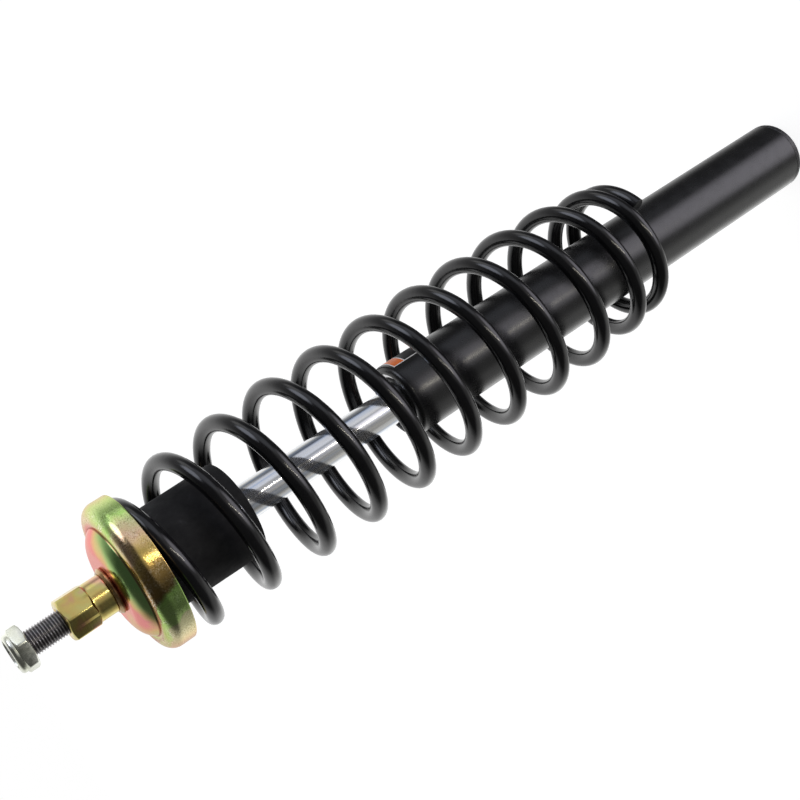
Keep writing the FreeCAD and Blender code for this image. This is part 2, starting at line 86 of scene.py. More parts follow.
ROD_BOTTOM, STUD_TIP = span("piston_rod")
ROD_R = reach("piston_rod")
ROD_SHOULDER = span("clamp_washer")[0]
ROD_LOW = span("piston_washer")[1]
STUD_R = 7.0
STUD_HOLE_R = STUD_R + 0.1
NUT_BORE_R = STUD_R + 0.08
ROD_HOLE_R = ROD_R + 0.1
THREAD_PITCH = 1.5
THREAD_DEPTH = 0.9

CUP_RIM, CUP_APEX = span("spring_cup")
CUP_R = reach("spring_cup")
CUP_SHEET = 2.4

COLLAR_BOTTOM, HEX_TOP = span("collar_nut")
THREAD_LOW, THREAD_HIGH = COLLAR_BOTTOM + 12, STUD_TIP - 0.9
HEX_BOTTOM = 540.0
HEX_AF = 22.0
LOCK_BOTTOM, LOCK_TOP = span("lock_nut")
LOCK_HEX_TOP = 580.9

WIRE_R = 4.75
SPRING_BOTTOM, SPRING_TOP = span("coil_spring")


# ---------------------------------------------------------------- outlines

def arc(centre, radius, start, end, steps=12):
    """Points along an arc of the half section; 0 degrees points outwards, 90 up."""
    angles = [math.radians(start + (end - start) * i / steps) for i in range(steps + 1)]
    return [(centre[0] + radius * math.cos(a), centre[1] + radius * math.sin(a)) for a in angles]


def rounded(corners):
    """A closed outline from (radius, height, rounding) corners, each turned into a small arc."""
    points = []
    count = len(corners)
    for index, (r, z, rounding) in enumerate(corners):
        here = Vector((r, z))
        before = Vector(corners[index - 1][:2]) - here
        after = Vector(corners[(index + 1) % count][:2]) - here
        if rounding <= 0:
            points.append((r, z))
            continue
        half = before.angle(after) / 2
        back = rounding / math.tan(half)
        start = here + before.normalized() * back
        end = here + after.normalized() * back
        for step in range(ROUND_STEPS + 1):
            share = step / ROUND_STEPS
            mix = start.lerp(here, share).lerp(here.lerp(end, share), share)
            points.append((mix.x, mix.y))
    return points


# ---------------------------------------------------------------- mesh making

def shade(mesh):
    """Smooth shading, with the sharp edges kept sharp."""
    mesh.shade_smooth()
    mesh.set_sharp_from_angle(angle=SHARP_ANGLE)


def finish_mesh(name, mesh, materials, body, node):
    """Shade a mesh, give it its materials and tie it to its body and CAD node."""
    built = bmesh.new()
    built.from_mesh(mesh)
    bmesh.ops.remove_doubles(built, verts=built.verts, dist=1e-7)
    bmesh.ops.recalc_face_normals(built, faces=built.faces)
    built.to_mesh(mesh)
    built.free()
    shade(mesh)
    piece = bpy.data.objects.new(name, mesh)
    bpy.context.scene.collection.objects.link(piece)
    for material in materials:
        mesh.materials.append(material)
    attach(piece, body)
    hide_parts(node)
    return piece


def rings_mesh(name, rings, closed):
    """A mesh from rings of points in millimetres, joined into a loop or capped at both ends."""
    rows = len(rings)
    columns = len(rings[0])
    points = np.array(rings, float).reshape(-1, 3) * MM
    faces = []
    for row in range(rows if closed else rows - 1):
        low = row * columns
        high = (row + 1) % rows * columns
        for column in range(columns):
            following = (column + 1) % columns
            faces.append((low + column, low + following, high + following, high + column))
    if not closed:
        faces.append(tuple(range(columns))[::-1])
        faces.append(tuple(range((rows - 1) * columns, rows * columns)))
    mesh = bpy.data.meshes.new(name)
    mesh.from_pydata(points.tolist(), [], faces)
    return mesh


def circle(radius, height, segments=SEGMENTS, shape=None):
    """One ring of points; shape(angle, radius, height) may change its radius and height."""
    points = []
    for index in range(segments):
        angle = TURN * index / segments
        r, z = shape(angle, radius, height) if shape else (radius, height)
        points.append((r * math.cos(angle), r * math.sin(angle), z))
    return points


def lathe(name, outline, material, body, node, shape=None, segments=SEGMENTS):
    """A turned piece from a closed outline."""
    rings = [circle(r, z, segments, shape) for r, z in outline]
    mesh = rings_mesh(name, rings, closed=True)
    return finish_mesh(name, mesh, [material], body, node)


def paint_faces(piece, choose):
    """Give each face the material slot that choose(centre) returns, its centre in millimetres."""
    for face in piece.data.polygons:
        face.material_index = choose(face.center / MM)


def soften(piece, width):
    """Round the piece's sharp edges in its mesh."""
    bevel = piece.modifiers.new("edges", "BEVEL")
    bevel.width = width * MM
    bevel.segments = 3
    bevel.limit_method = "ANGLE"
    bevel.angle_limit = SHARP_ANGLE
    graph = bpy.context.evaluated_depsgraph_get()
    mesh = bpy.data.meshes.new_from_object(piece.evaluated_get(graph))
    piece.modifiers.clear()
    piece.data = mesh
    shade(mesh)


# ---------------------------------------------------------------- material tools

class Shader:
    """A small wrapper round one material's nodes."""

    def __init__(self, name):
        self.material = bpy.data.materials.new(name)
        self.material.use_nodes = True
        self.tree = self.material.node_tree
        self.bsdf = self.tree.nodes["Principled BSDF"]
        self.place = self.add("ShaderNodeTexCoord").outputs["Object"]

    def add(self, kind, **settings):
        """A new node of a kind, with its settings."""
        node = self.tree.nodes.new(kind)
        for key, value in settings.items():
            setattr(node, key, value)
        return node

    def link(self, source, target):
        self.tree.links.new(source, target)

    def set(self, **values):
        """Constant values on the shader's own sockets, with spaces written as underscores."""
        for key, value in values.items():
            self.bsdf.inputs[key.replace("_", " ")].default_value = value

    def stretched(self, x=1.0, y=1.0, z=1.0):
        """The object coordinates, scaled along each axis."""
        node = self.add("ShaderNodeVectorMath", operation="MULTIPLY")
        self.link(self.place, node.inputs[0])
        node.inputs[1].default_value = (x, y, z)
        return node.outputs[0]

    def noise(self, scale, detail=3.0, roughness=0.5, source=None):
        """Noise over the object coordinates, or over another source."""
        node = self.add("ShaderNodeTexNoise")
        self.link(source or self.place, node.inputs["Vector"])
        node.inputs["Scale"].default_value = scale
        node.inputs["Detail"].default_value = detail
        node.inputs["Roughness"].default_value = roughness
        return node.outputs["Fac"]

    def ramp(self, source, stops):
        """A colour ramp from (position, colour) stops."""
        node = self.add("ShaderNodeValToRGB")
        band = node.color_ramp
        while len(band.elements) < len(stops):
            band.elements.new(0.5)
        for element, (position, colour) in zip(band.elements, stops):
            element.position = position
            element.color = (*colour, 1)
        self.link(source, node.inputs["Fac"])
        return node.outputs["Color"]

    def range(self, source, low, high, to_low=0.0, to_high=1.0, smooth=False):
        """A value mapped from one range to another and held within it."""
        node = self.add("ShaderNodeMapRange")
        if smooth:
            node.interpolation_type = "SMOOTHSTEP"
        self.link(source, node.inputs["Value"])
        limits = {"From Min": low, "From Max": high, "To Min": to_low, "To Max": to_high}
        for key, value in limits.items():
            node.inputs[key].default_value = value
        return node.outputs["Result"]

    def math(self, operation, first, second=0.0):
        """Arithmetic on two values, each a number or a socket."""
        node = self.add("ShaderNodeMath", operation=operation)
        for socket, value in zip(node.inputs, (first, second)):
            if isinstance(value, (int, float)):
                socket.default_value = value
            else:
                self.link(value, socket)
        return node.outputs[0]

    def mix(self, factor, first, second):
        """A colour mix; first and second are colours or sockets."""
        node = self.add("ShaderNodeMix", data_type="RGBA")
        self.link(factor, node.inputs["Factor"])
        for socket, value in zip((node.inputs[6], node.inputs[7]), (first, second)):
            if isinstance(value, tuple):
                socket.default_value = (*value, 1)
            else:
                self.link(value, socket)
        return node.outputs[2]

    def height(self):
        """Z in millimetres."""
        node = self.add("ShaderNodeSeparateXYZ")
        self.link(self.place, node.inputs[0])
        return self.math("MULTIPLY", node.outputs["Z"], 1 / MM)

    def along(self, direction):
        """Distance in millimetres along a direction, from the axis of the part."""
        node = self.add("ShaderNodeVectorMath", operation="DOT_PRODUCT")
        self.link(self.place, node.inputs[0])
        node.inputs[1].default_value = direction
        return self.math("MULTIPLY", node.outputs["Value"], 1 / MM)

    def radius(self):
        """Distance from the part's axis, in millimetres."""
        flat = self.stretched(z=0.0)
        node = self.add("ShaderNodeVectorMath", operation="LENGTH")
        self.link(flat, node.inputs[0])
        return self.math("MULTIPLY", node.outputs["Value"], 1 / MM)

    def bump(self, source, depth, previous=None):
        """Surface relief on top of any previous relief; depth is in millimetres."""
        node = self.add("ShaderNodeBump")
        node.inputs["Strength"].default_value = 1.0
        node.inputs["Distance"].default_value = depth * MM
        self.link(source, node.inputs["Height"])
        if previous:
            self.link(previous, node.inputs["Normal"])
        self.link(node.outputs["Normal"], self.bsdf.inputs["Normal"])
        return node.outputs["Normal"]

    def colour(self, source):
        self.link(source, self.bsdf.inputs["Base Color"])

    def rough(self, source):
        self.link(source, self.bsdf.inputs["Roughness"])


# ---------------------------------------------------------------- materials

def black_paint():
    """Satin black paint over drawn steel, with a faint orange peel."""
    s = Shader("black_paint")
    mottle = s.noise(60, 4)
    s.colour(s.ramp(mottle, [(0.3, (0.0045, 0.0045, 0.005)), (0.7, (0.008, 0.008, 0.0088))]))
    s.rough(s.range(s.noise(180, 5), 0.3, 0.7, 0.22, 0.30))
    drawn = s.noise(1, 2, source=s.stretched(500, 500, 14))
    relief = s.bump(s.noise(900, 3), 0.008)
    s.bump(drawn, 0.01, previous=relief)
    return s.material


def rim_paint():
    """The same paint over the rough welded edge of the closed end."""
    s = Shader("black_paint_on_weld")
    s.colour(s.ramp(s.noise(600, 4), [(0.35, (0.006, 0.006, 0.007)), (0.7, (0.03, 0.03, 0.032))]))
    s.rough(s.range(s.noise(400, 4), 0.3, 0.7, 0.3, 0.5))
    s.bump(s.noise(800, 4), 0.20)
    return s.material


def powder_coat():
    """Semi-gloss black powder coat on the spring wire."""
    s = Shader("black_powder_coat")
    s.colour(s.ramp(s.noise(90, 3), [
        (0.3, (0.0045, 0.0045, 0.0052)),
        (0.7, (0.008, 0.008, 0.0088)),
    ]))
    s.rough(s.range(s.noise(220, 4), 0.3, 0.7, 0.11, 0.17))
    relief = s.bump(s.noise(1300, 2), 0.011)
    s.bump(s.noise(260, 2), 0.03, previous=relief)
    return s.material


def chrome():
    """Hard chrome with faint grinding rings, wiped streaks and a thin haze of oil."""
    s = Shader("rod_chrome")
    s.set(Metallic=0.86)
    streaks = s.noise(1, 3, source=s.stretched(420, 420, 9))
    s.colour(s.ramp(streaks, [
        (0.34, (0.50, 0.58, 0.72)),
        (0.48, (0.70, 0.72, 0.75)),
        (0.58, (0.78, 0.77, 0.74)),
        (0.68, (0.60, 0.62, 0.66)),
    ]))
    rings = s.noise(1, 3, source=s.stretched(30, 30, 4200))
    s.rough(s.range(s.math("ADD", rings, streaks), 0.8, 1.2, 0.06, 0.12))
    s.bump(rings, 0.0004)
    return s.material


def thread_steel():
    """Dark oiled steel of the cut thread, brighter on the crests."""
    s = Shader("thread_steel")
    s.set(Metallic=1.0)
    crest = s.range(s.radius(), STUD_R - THREAD_DEPTH, STUD_R, 0.0, 1.0)
    tone = s.ramp(crest, [
        (0.0, (0.10, 0.098, 0.10)),
        (0.6, (0.34, 0.33, 0.34)),
        (1.0, (0.66, 0.64, 0.65)),
    ])
    stain = s.range(s.noise(500, 4), 0.35, 0.7, 0.0, 0.35)
    s.colour(s.mix(stain, tone, (0.14, 0.12, 0.12)))
    s.rough(s.range(s.noise(900, 3), 0.3, 0.7, 0.26, 0.42))
    s.bump(s.noise(2500, 2), 0.01)
    return s.material


def dome_film(s):
    """The film on the cup's dome: pink on its +Y side, green on its -Y side, pink again at -X."""
    drift = s.range(s.noise(42, 3), 0.3, 0.7, -0.10, 0.10)
    near_side = s.range(s.along((0.25, -0.95, 0.0)), 11, 31, 0.18, 0.62)
    low_side = s.range(s.along((-1.0, 0.1, 0.0)), 8, 32, 0.0, 0.32)
    return s.ramp(s.math("ADD", s.math("ADD", near_side, low_side), drift), [
        (0.00, (0.70, 0.30, 0.30)),
        (0.28, (0.72, 0.28, 0.28)),
        (0.37, (0.64, 0.46, 0.22)),
        (0.46, (0.42, 0.62, 0.24)),
        (0.62, (0.33, 0.60, 0.21)),
        (0.76, (0.48, 0.56, 0.26)),
        (0.88, (0.72, 0.32, 0.29)),
        (1.00, (0.64, 0.52, 0.40)),
    ])


def shoulder_film_and_painted_shade(s):
    """The film on the drawn shoulder: green at +X, then gold and brown, and green again at -X; the
    dark browns before -X are painted shade, the dark surroundings reflected on that side.
    """
    patches = s.range(s.noise(60, 3), 0.3, 0.7, -5, 5)
    shear = s.range(s.radius(), 34, 42.5, 9, -7)
    round_shoulder = s.math("ADD", s.along((0.95, 0.25, 0.0)), s.math("ADD", patches, shear))
    return s.ramp(s.range(round_shoulder, 42, -42), [
        (0.00, (0.64, 0.54, 0.40)),
        (0.05, (0.58, 0.74, 0.34)),
        (0.34, (0.44, 0.70, 0.20)),
        (0.43, (0.66, 0.62, 0.30)),
        (0.51, (0.78, 0.52, 0.32)),
        (0.59, (0.68, 0.50, 0.15)),
        # painted shade: these two dark browns stand in for the dark surroundings that this side of
        # the shoulder reflects
        (0.69, (0.38, 0.24, 0.07)),
        (0.82, (0.20, 0.13, 0.04)),
        (0.86, (0.38, 0.64, 0.16)),
        (0.97, (0.48, 0.68, 0.24)),
        (1.00, (0.60, 0.58, 0.34)),
    ])


def speckled(s, grain, film):
    """Silver flecks, more of them near the pressed step, and dark pits over a film colour."""
    clouds = s.noise(150, 4, 0.6)
    flecks = s.range(grain, 0.50, 0.59)
    bright = s.math("MULTIPLY", flecks, s.range(clouds, 0.42, 0.56, 0.10, 0.95))
    by_step = s.range(s.radius(), 41.5, 38.0, 0.2, 1.0)
    pale = s.mix(s.math("MULTIPLY", bright, by_step), film, (0.90, 0.90, 0.78))
    pits = s.range(grain, 0.48, 0.40)
    dark = s.math("MULTIPLY", pits, s.range(clouds, 0.40, 0.62, 0.10, 0.55))
    return s.mix(dark, pale, (0.12, 0.10, 0.04))


def step_line(s):
    """A mask for the thin brown line along the pressed step."""
    from_step = s.math("ABSOLUTE", s.math("SUBTRACT", s.radius(), 32.1))
    line = s.math("SUBTRACT", 1.0, s.range(from_step, 0.15, 0.5))
    return s.math("MULTIPLY", line, s.range(s.height(), 518, 520))


def cup_zinc():
    """Yellow zinc on the pressed cup: coloured bands, with speckle and a band of painted shade on
    the drawn shoulder.
    """
    s = Shader("yellow_zinc_cup")
    s.set(Metallic=1.0, Specular_Tint=(0.92, 0.68, 0.62, 1))
    grain = s.noise(1500, 3, 0.7)
    shoulder = s.range(s.radius(), 32.5, 36.0, smooth=True)
    tone = s.mix(shoulder, dome_film(s), speckled(s, grain, shoulder_film_and_painted_shade(s)))
    s.colour(s.mix(step_line(s), tone, (0.28, 0.10, 0.06)))
    s.rough(s.range(grain, 0.3, 0.7, 0.12, 0.24))
    drawn = s.math("MULTIPLY", s.noise(700, 4, 0.6), shoulder)
    relief = s.bump(drawn, 0.045)
    s.bump(s.noise(90, 2), 0.10, previous=relief)
    return s.material


def nut_zinc():
    """Yellow zinc on the machined collar nut, with pink and olive patches."""
    s = Shader("yellow_zinc_nut")
    s.set(Metallic=1.0)
    s.colour(s.ramp(s.noise(85, 3), [
        (0.30, (0.66, 0.36, 0.20)),
        (0.42, (0.64, 0.48, 0.15)),
        (0.55, (0.60, 0.53, 0.18)),
        (0.70, (0.68, 0.40, 0.28)),
    ]))
    turned = s.noise(1, 3, source=s.stretched(60, 60, 3500))
    s.rough(s.range(turned, 0.3, 0.7, 0.16, 0.27))
    relief = s.bump(turned, 0.006)
    s.bump(s.noise(900, 3), 0.008, previous=relief)
    return s.material


def white_zinc():
    """Bright white zinc on the lock nut, faintly green."""
    s = Shader("white_zinc")
    s.set(Metallic=1.0)
    s.colour(s.ramp(s.noise(140, 4), [(0.3, (0.66, 0.68, 0.55)), (0.7, (0.84, 0.85, 0.78))]))
    s.rough(s.range(s.noise(500, 4), 0.3, 0.7, 0.18, 0.34))
    s.bump(s.noise(1300, 3), 0.012)
    return s.material


def copper_brown():
    """The heat-browned ring under the collar nut."""
    s = Shader("copper_brown")
    s.set(Metallic=1.0)
    s.colour(s.ramp(s.noise(160, 4), [
        (0.3, (0.20, 0.11, 0.05)),
        (0.5, (0.44, 0.27, 0.12)),
        (0.7, (0.64, 0.48, 0.28)),
    ]))
    s.rough(s.range(s.noise(700, 3), 0.3, 0.7, 0.22, 0.4))
    s.bump(s.noise(1100, 3), 0.02)
    return s.material


def bump_rubber():
    """Matte black cellular elastomer with a faint bloom."""
    s = Shader("bump_rubber")
    s.set(Specular_IOR_Level=0.22)
    bloom = s.noise(110, 5, 0.65)
    s.colour(s.ramp(bloom, [
        (0.35, (0.008, 0.008, 0.009)),
        (0.6, (0.012, 0.012, 0.013)),
        (0.75, (0.024, 0.024, 0.026)),
    ]))
    s.rough(s.range(bloom, 0.3, 0.7, 0.9, 0.72))
    relief = s.bump(s.noise(1800, 3), 0.03)
    s.bump(s.noise(240, 3), 0.05, previous=relief)
    return s.material


def seal_rubber():
    """Smooth black nitrile."""
    s = Shader("seal_rubber")
    s.colour(s.ramp(s.noise(200, 3), [(0.3, (0.006, 0.006, 0.006)), (0.7, (0.013, 0.013, 0.014))]))
    s.rough(s.range(s.noise(400, 3), 0.3, 0.7, 0.24, 0.36))
    s.bump(s.noise(1500, 2), 0.01)
    return s.material


def bright_steel():
    """Turned bright steel with rings about the axis."""
    s = Shader("bright_steel")
    s.set(Metallic=1.0)
    s.colour(s.ramp(s.noise(120, 3), [(0.3, (0.58, 0.58, 0.60)), (0.7, (0.72, 0.72, 0.72))]))
    turned = s.noise(1, 3, source=s.stretched(400, 400, 3000))
    s.rough(s.range(turned, 0.3, 0.7, 0.16, 0.3))
    s.bump(turned, 0.006)
    return s.material


def sintered_iron():
    """Grey sintered iron with open pores."""
    s = Shader("sintered_iron")
    s.set(Metallic=1.0)
    pores = s.noise(1400, 5, 0.7)
    s.colour(s.ramp(pores, [
        (0.35, (0.06, 0.06, 0.065)),
        (0.5, (0.2, 0.2, 0.21)),
        (0.7, (0.32, 0.32, 0.33)),
    ]))
    s.rough(s.range(pores, 0.3, 0.7, 0.6, 0.4))
    s.bump(pores, 0.04)
    return s.material


def bush_bronze():
    """Porous bearing bronze."""
    s = Shader("bush_bronze")
    s.set(Metallic=1.0)
    grain = s.noise(1100, 4, 0.6)
    s.colour(s.ramp(grain, [(0.3, (0.34, 0.2, 0.08)), (0.7, (0.62, 0.42, 0.2))]))
    s.rough(s.range(grain, 0.3, 0.7, 0.42, 0.28))
    s.bump(grain, 0.015)
    return s.material


def nylon():
    """Natural nylon, slightly waxy."""
    s = Shader("nylon")
    s.set(Subsurface_Weight=0.15, Subsurface_Scale=0.001)
    s.colour(s.ramp(s.noise(300, 3), [(0.3, (0.62, 0.60, 0.50)), (0.7, (0.75, 0.73, 0.64))]))
    s.rough(s.range(s.noise(500, 3), 0.3, 0.7, 0.38, 0.5))
    s.bump(s.noise(1400, 2), 0.01)
    return s.material


def label_ink(name, light, dark):
    """Printed film: an even ink with a very fine screen, under a gloss film."""
    s = Shader(name)
    s.set(Specular_IOR_Level=0.3)
    s.colour(s.ramp(s.noise(900, 3), [(0.3, dark), (0.7, light)]))
    s.rough(s.range(s.noise(300, 2), 0.3, 0.7, 0.34, 0.46))
    s.bump(s.noise(500, 2), 0.006)
    return s.material


PAINT = black_paint()
RIM_PAINT = rim_paint()
COAT = powder_coat()
CHROME = chrome()
THREAD = thread_steel()
CUP_ZINC = cup_zinc()
NUT_ZINC = nut_zinc()
WHITE_ZINC = white_zinc()
COPPER = copper_brown()
FOAM = bump_rubber()
RUBBER = seal_rubber()
STEEL = bright_steel()
IRON = sintered_iron()
BRONZE = bush_bronze()
NYLON = nylon()
LABEL_WHITE = label_ink("label_white", (0.80, 0.80, 0.79), (0.72, 0.72, 0.72))
LABEL_ORANGE = label_ink("label_orange", (0.88, 0.19, 0.022), (0.78, 0.15, 0.016))
LABEL_BLACK = label_ink("label_black", (0.012, 0.012, 0.013), (0.008, 0.008, 0.009))


# ---------------------------------------------------------------- tube and gland

def make_tube():
    """The drawn tube with its mouth rolled inwards."""
    lip_under = TUBE_TOP - LIP_THICKNESS
    edge = 0.4
    outline = [(TUBE_R, z) for z in np.linspace(CAP_JOIN, TUBE_TOP - LIP_ROUND, 40)]
    outline += arc((TUBE_R - LIP_ROUND, TUBE_TOP - LIP_ROUND), LIP_ROUND, 8, 90, 14)
    outline += arc((LIP_R + edge, TUBE_TOP - edge), edge, 90, 180, 5)
    outline += [(LIP_R, lip_under), (TUBE_BORE_R, lip_under), (TUBE_BORE_R, CAP_JOIN)]
    lathe("strut_tube_shell", outline, PAINT, "tube", "strut_tube")


def make_cap():
    """The closed end, its edge left rough by the weld under the paint."""
    rough_from = TUBE_R - 2 * CAP_ROUND
    seam_depth = 0.3
    below_seam = 0.4
    spigot_r = TUBE_BORE_R - 3.4

    def uneven(angle, r, z):
        if r < rough_from or z > CAP_JOIN:
            return r, z
        spot = Vector((r * math.cos(angle), r * math.sin(angle), z))
        dip = 0.10 * (noise.noise(spot * 0.9) + 0.7 * noise.noise(spot * 2.3)) - 0.08
        return r + dip, max(0.0, z + 0.3 * dip)

    outline = [(NEAR_AXIS, 0.0)]
    outline += [(r, 0.0) for r in np.linspace(2.0, TUBE_R - CAP_ROUND - 0.5, 12)]
    outline += arc((TUBE_R - CAP_ROUND, CAP_ROUND), CAP_ROUND, -90, 0, 14)
    outline += [(TUBE_R, z) for z in np.linspace(CAP_ROUND + 0.3, CAP_JOIN - below_seam, 6)]
    outline += [(TUBE_R - seam_depth, CAP_JOIN - 0.05), (TUBE_BORE_R, CAP_JOIN)]
    outline += [(TUBE_BORE_R, CAP_TOP), (spigot_r, CAP_TOP), (spigot_r, CAP_JOIN)]
    outline += [(NEAR_AXIS, CAP_JOIN)]
    lathe("closed_end", outline, RIM_PAINT, "tube", "bottom_cap", uneven)


def label_grid(built, radius, shares, heights, start, sweep):
    """Rows of vertices on the tube at one radius, from a share of the sweep and a height."""
    grid = []
    for z in heights:
        row = []
        for share in shares:
            angle = start + sweep * share
            place = Vector((radius * math.cos(angle), radius * math.sin(angle), z)) * MM
            row.append(built.verts.new(place))
        grid.append(row)
    return grid


def make_label():
    """A thin printed patch on the tube by the gland: white border, orange block, black field."""
    start = math.radians(-40)
    sweep = math.radians(118)
    face_r = TUBE_R + 0.03
    under_r = TUBE_R - 0.12
    border = 0.7
    orange_length = 6.8
    low, high = span("label")
    orange_low = high - border - orange_length
    side = border / face_r / sweep
    shares = np.unique(np.concatenate([np.linspace(0, 1, 120), [side, 1 - side]]))
    lines = [low, low + border, orange_low - border, orange_low, high - border, high]
    steps = [np.linspace(a, b, 5) for a, b in zip(lines, lines[1:])]
    heights = np.unique(np.concatenate(steps))
    rows = range(len(heights) - 1)
    columns = range(len(shares) - 1)
    built = bmesh.new()
    under = label_grid(built, under_r, shares, heights, start, sweep)
    top = label_grid(built, face_r, shares, heights, start, sweep)

    def ink(row, column):
        share = (shares[column] + shares[column + 1]) / 2
        z = (heights[row] + heights[row + 1]) / 2
        edge = share < side or share > 1 - side or z < low + border or z > high - border
        divider = orange_low - border < z < orange_low
        if edge or divider:
            return 0
        return 1 if z > orange_low else 2

    for grid, order in ((under, -1), (top, 1)):
        for row in rows:
            for column in columns:
                corners = [grid[row][column], grid[row][column + 1],
                           grid[row + 1][column + 1], grid[row + 1][column]]
                built.faces.new(corners[::order]).material_index = ink(row, column)
    for row in rows:
        for column in (0, len(columns)):
            built.faces.new([under[row][column], under[row + 1][column],
                             top[row + 1][column], top[row][column]])
    for column in columns:
        for row in (0, len(rows)):
            built.faces.new([under[row][column], under[row][column + 1],
                             top[row][column + 1], top[row][column]])
    mesh = bpy.data.meshes.new("label_film")
    built.to_mesh(mesh)
    built.free()
    inks = [LABEL_WHITE, LABEL_ORANGE, LABEL_BLACK]
    finish_mesh("label_film", mesh, inks, "tube", "label")


def make_gland():
    """The bright retaining ring and the stepped black wiper inside the rolled lip."""
    low, high = span("retaining_ring")
    inner = 15.2
    outer = TUBE_BORE_R - 0.1
    ring = rounded([(inner, low, 0), (outer, low, 0), (outer, high, 0.3), (inner, high, 0.8)])
    lathe("gland_ring", ring, STEEL, "tube", "retaining_ring")
    seat, tip = span("wiper_seal")
    shoulder = 339.8
    lip_r = ROD_R + 0.05
    wiper = rounded([
        (lip_r, seat, 0),
        (inner, seat, 0),
        (inner, shoulder - 1.4, 0.2),
        (inner - 1.0, shoulder, 0.5),
        (13.4, shoulder, 0.2),
        (13.1, shoulder - 0.5, 0.2),
        (12.5, shoulder - 0.5, 0.2),
        (12.3, shoulder + 0.3, 0.3),
        (11.3, tip, 0.35),
        (lip_r, tip, 0.2),
    ])
    lathe("rod_wiper", wiper, RUBBER, "tube", "wiper_seal")


# ---------------------------------------------------------------- rod, stud and nuts

def thread_radius(height, angle):
    """The stud's radius on a right-hand 60 degree thread."""
    phase = (height / THREAD_PITCH - angle / TURN) % 1.0
    from_crest = min(phase, 1 - phase)
    crest_flat = 1 / 16
    root_start = 3 / 8
    fall = (from_crest - crest_flat) / (root_start - crest_flat)
    return STUD_R - THREAD_DEPTH * min(1.0, max(0.0, fall))


def plain_rod():
    """The outline from the piston tenon to the plain part of the stud."""
    tenon_r = 6.0
    groove_r = 9.2
    groove_low, groove_high = span("stop_ring")
    outline = [(NEAR_AXIS, ROD_BOTTOM), (tenon_r - 1, ROD_BOTTOM), (tenon_r, ROD_BOTTOM + 1)]
    outline += [(tenon_r, ROD_LOW), (ROD_R, ROD_LOW), (ROD_R, groove_low)]
    outline += [(groove_r, groove_low), (groove_r, groove_high), (ROD_R, groove_high)]
    outline += [(ROD_R, z) for z in np.linspace(groove_high + 20, ROD_SHOULDER, 12)]
    outline += [(STUD_R, ROD_SHOULDER), (STUD_R, THREAD_LOW - 1.0)]
    return outline


def make_rod():
    """The rod in one piece, from its piston tenon to the threaded stud."""
    columns = 96
    rows_per_pitch = 12
    rings = [circle(r, z, columns) for r, z in plain_rod()]
    rows = round((THREAD_HIGH - THREAD_LOW) / THREAD_PITCH * rows_per_pitch)
    for row in range(rows + 1):
        z = THREAD_LOW + (THREAD_HIGH - THREAD_LOW) * row / rows
        fade = min(1.0, row / rows_per_pitch)

        def cut(angle, r, z, fade=fade):
            return STUD_R - fade * (STUD_R - thread_radius(z, angle)), z

        rings.append(circle(STUD_R, z, columns, cut))
    rings.append(circle(STUD_R - THREAD_DEPTH, STUD_TIP, columns))
    rings.append(circle(NEAR_AXIS, STUD_TIP, columns))
    mesh = rings_mesh("rod_and_stud", rings, closed=False)
    rod = finish_mesh("rod_and_stud", mesh, [CHROME, THREAD], "rod", "piston_rod")
    paint_faces(rod, lambda centre: 0 if ROD_LOW <= centre.z <= ROD_SHOULDER else 1)


def hexagon_radius(flats, angle, turn):
    """Radius of a hexagon at an angle about its axis, its corners turned down a little."""
    corner_cut = 0.28
    sixth = TURN / 6
    local = (angle - turn) % sixth - sixth / 2
    corner = flats / 2 / math.cos(sixth / 2)
    return min(flats / 2 / math.cos(local), corner - corner_cut)


def hexagon_rings(flats, turn, bottom, top, face_r):
    """Rings of a hexagon bar whose corners fall away in a 30 degree cone at both ends."""
    slope = math.tan(math.radians(30))

    def lower(angle, r, z):
        outer = hexagon_radius(flats, angle, turn)
        return outer, z + max(0.0, outer - face_r) * slope

    def upper(angle, r, z):
        outer = hexagon_radius(flats, angle, turn)
        return outer, z - max(0.0, outer - face_r) * slope

    return [
        circle(face_r, bottom, NUT_SEGMENTS),
        circle(face_r, bottom, NUT_SEGMENTS, lower),
        circle(face_r, top, NUT_SEGMENTS, upper),
        circle(face_r, top, NUT_SEGMENTS),
    ]


def nut_rings(outline):
    """Round rings of a nut from (radius, height) pairs."""
    return [circle(r, z, NUT_SEGMENTS) for r, z in outline]


def make_collar_nut():
    """The hexagon nut with a long round collar towards the cup."""
    collar_r = 10.75
    face_r = 10.4
    chamfer = 0.7
    edge = 0.4
    collar = [(NUT_BORE_R, COLLAR_BOTTOM)]
    collar += arc((collar_r - edge, COLLAR_BOTTOM + edge), edge, -90, 0, 4)
    collar += [(collar_r, z) for z in np.linspace(COLLAR_BOTTOM + 1, HEX_BOTTOM - 0.3, 8)]
    collar += [(collar_r + 0.06, HEX_BOTTOM)]
    rings = nut_rings(collar)
    rings += hexagon_rings(HEX_AF, math.radians(24), HEX_BOTTOM, HEX_TOP, face_r)[1:]
    rings += nut_rings([(NUT_BORE_R + chamfer, HEX_TOP), (NUT_BORE_R, HEX_TOP - chamfer)])
    mesh = rings_mesh("collar_nut_body", rings, closed=True)
    nut = finish_mesh("collar_nut_body", mesh, [NUT_ZINC], "rod", "collar_nut")
    soften(nut, 0.16)


